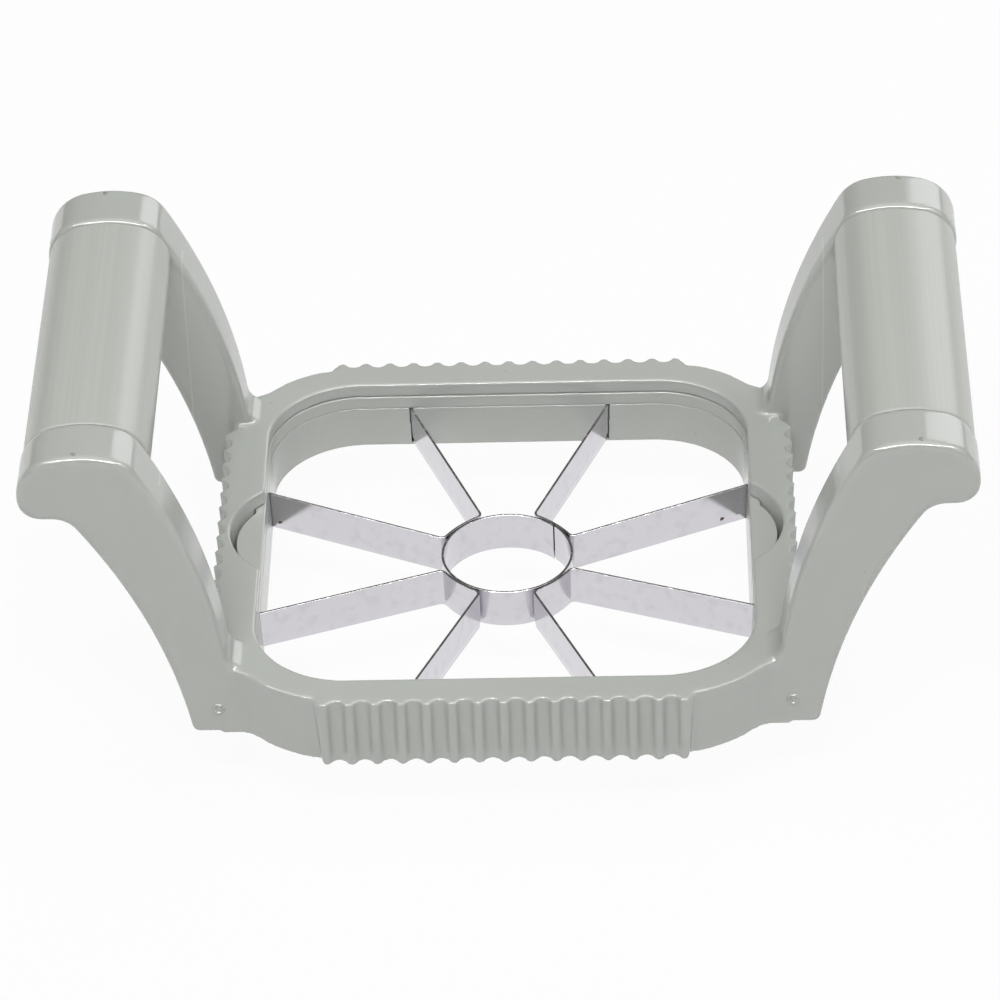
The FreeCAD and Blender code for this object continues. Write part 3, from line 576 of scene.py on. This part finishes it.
rust = rusty_steel("rusty_steel")
for corner, (reach, angle) in BURRS.items():
    spot = polar(reach, angle)
    front = Vector((spot.y, -spot.x, 0)).normalized() * (1 if spot.x > 0 else -1)
    base = Vector((spot.x, spot.y, spoke_level(spot) + BURR_HEIGHT)) + front * STRIP_THICKNESS / 2
    turned(f"burr_{corner}", BURR, base, front, rust, "blade_cassette", wobble=0.2)

# ---------------------------------------------------------------------------------------------
# Studio: a white table under a tent whose top glows. The strongest softbox stands in front, and
# two on the right light the grips. The table lies just below the cassette's lowest place, so that
# the cassette stays in sight when it drops.
# ---------------------------------------------------------------------------------------------
TABLE_WHITE = "E0E0E0"
TABLE_GLOW = 0.94                # how far it looks plain white to the eye, over its shaded paint
TABLE_SIZE, TABLE_DROP = 4.0, 16 * MM
TENT_SIDE, TENT_TOP = 0.15, 1.3  # brightness of the tent's walls and top, against the table's
TENT_TURN = (0.7, 0.95)          # Z of the directions between which walls turn into top
TENT_WARMTH = (1.0, 0.995, 0.96, 1)
LAMP_WHITE = (0.975, 0.985, 1.0)
LAMP_DISTANCE = 2.0

table_white, tree = new_material("table_white")
rays = node(tree, "ShaderNodeLightPath")
seen = node(tree, "ShaderNodeMath", {"operation": "MAXIMUM"},
            _0=rays.outputs["Is Camera Ray"], _1=rays.outputs["Is Glossy Ray"])
seen = node(tree, "ShaderNodeMath", {"operation": "MAXIMUM"},
            _0=seen.outputs["Value"], _1=rays.outputs["Is Transmission Ray"])
share = node(tree, "ShaderNodeMath", {"operation": "MULTIPLY"},
             _0=seen.outputs["Value"], _1=TABLE_GLOW)
paint = node(tree, "ShaderNodeBsdfDiffuse", Color=linear(TABLE_WHITE))
glow = node(tree, "ShaderNodeEmission", Color=linear("FFFFFF"), Strength=1.0)
mixed = node(tree, "ShaderNodeMixShader", _0=share.outputs["Value"],
             _1=paint.outputs["BSDF"], _2=glow.outputs["Emission"])
node(tree, "ShaderNodeOutputMaterial", Surface=mixed.outputs["Shader"])
bpy.ops.mesh.primitive_plane_add(size=TABLE_SIZE, location=(0, 0, -TABLE_DROP))
table = bpy.context.object
table.name = "table"
table.data.materials.append(table_white)

world = bpy.data.worlds.new("studio")
bpy.context.scene.world = world
world.use_nodes = True
tree = world.node_tree
tree.nodes.clear()
direction = node(tree, "ShaderNodeTexCoord").outputs["Generated"]
height = node(tree, "ShaderNodeSeparateXYZ", Vector=direction).outputs["Z"]
tent = node(tree, "ShaderNodeMapRange", {"interpolation_type": "SMOOTHSTEP"}, Value=height,
            From_Min=TENT_TURN[0], From_Max=TENT_TURN[1], To_Min=TENT_SIDE, To_Max=TENT_TOP)
sky = node(tree, "ShaderNodeBackground", Color=TENT_WARMTH, Strength=tent.outputs["Result"])
node(tree, "ShaderNodeOutputWorld", Surface=sky.outputs["Background"])


def softbox(name, azimuth, elevation, width, height, radiance):
    """Soft light that looks at the press. Azimuth is in degrees from the rear towards the right;
    a radiance of 1 is as bright as the white table."""
    light = bpy.data.lights.new(name, "AREA")
    light.shape = "RECTANGLE"
    light.size, light.size_y = width, height
    light.energy = radiance * math.pi * width * height
    light.color = LAMP_WHITE
    box = bpy.data.objects.new(name, light)
    bpy.context.scene.collection.objects.link(box)
    turn, lift = math.radians(azimuth), math.radians(elevation)
    away = Vector((math.sin(turn) * math.cos(lift), math.cos(turn) * math.cos(lift),
                   math.sin(lift)))
    box.location = away * LAMP_DISTANCE
    box.rotation_euler = away.to_track_quat("Z", "Y").to_euler()
    return box


softbox("front_softbox", azimuth=-174, elevation=58, width=1.3, height=0.25, radiance=20.0)
# Three bare tubes along the tent's front edge only glint: they draw the bright lines along the
# rounded edges and light no surface.
for azimuth in (-125, 178, 122):
    tube = softbox(f"tube_{azimuth}", azimuth, elevation=56, width=1.9, height=0.1, radiance=28.0)
    tube.visible_diffuse = False
softbox("right_softbox", azimuth=88, elevation=45, width=1.0, height=0.8, radiance=2.1)
softbox("right_rear_softbox", azimuth=28, elevation=22, width=0.8, height=1.2, radiance=1.8)

# Camera: on a long lens, a little to the right of the middle plane and turned a little.
IMAGE_WIDTH = 1000               # in pixels, as the focal length and the centre are
SENSOR_WIDTH = 36.0              # in mm
FOCAL_PIXELS = 5536.0
AZIMUTH, ELEVATION, ROLL = math.radians(1.767), math.radians(36.13), math.radians(-2.072)
DISTANCE = 1.11935
TARGET = Vector((0, 0, 0.021984))
CENTRE_X, CENTRE_Y = 505.34, 499.60

camera_data = bpy.data.cameras.new("camera")
camera_data.sensor_width = SENSOR_WIDTH
camera_data.lens = FOCAL_PIXELS * SENSOR_WIDTH / IMAGE_WIDTH
camera_data.shift_x = (IMAGE_WIDTH / 2 - CENTRE_X) / IMAGE_WIDTH
camera_data.shift_y = (CENTRE_Y - IMAGE_WIDTH / 2) / IMAGE_WIDTH
camera_data.clip_start = 0.05
camera = bpy.data.objects.new("camera", camera_data)
bpy.context.scene.collection.objects.link(camera)
back = Vector((math.sin(AZIMUTH) * math.cos(ELEVATION),
               -math.cos(AZIMUTH) * math.cos(ELEVATION), math.sin(ELEVATION)))
level_right = Vector((math.cos(AZIMUTH), math.sin(AZIMUTH), 0))
level_up = back.cross(level_right)
right = math.cos(ROLL) * level_right + math.sin(ROLL) * level_up
up = -math.sin(ROLL) * level_right + math.cos(ROLL) * level_up
camera.matrix_world = Matrix.Translation(TARGET + back * DISTANCE) @ Matrix(
    (right, up, back)).transposed().to_4x4()
bpy.context.scene.camera = camera
bpy.context.scene.view_settings.view_transform = "Standard"
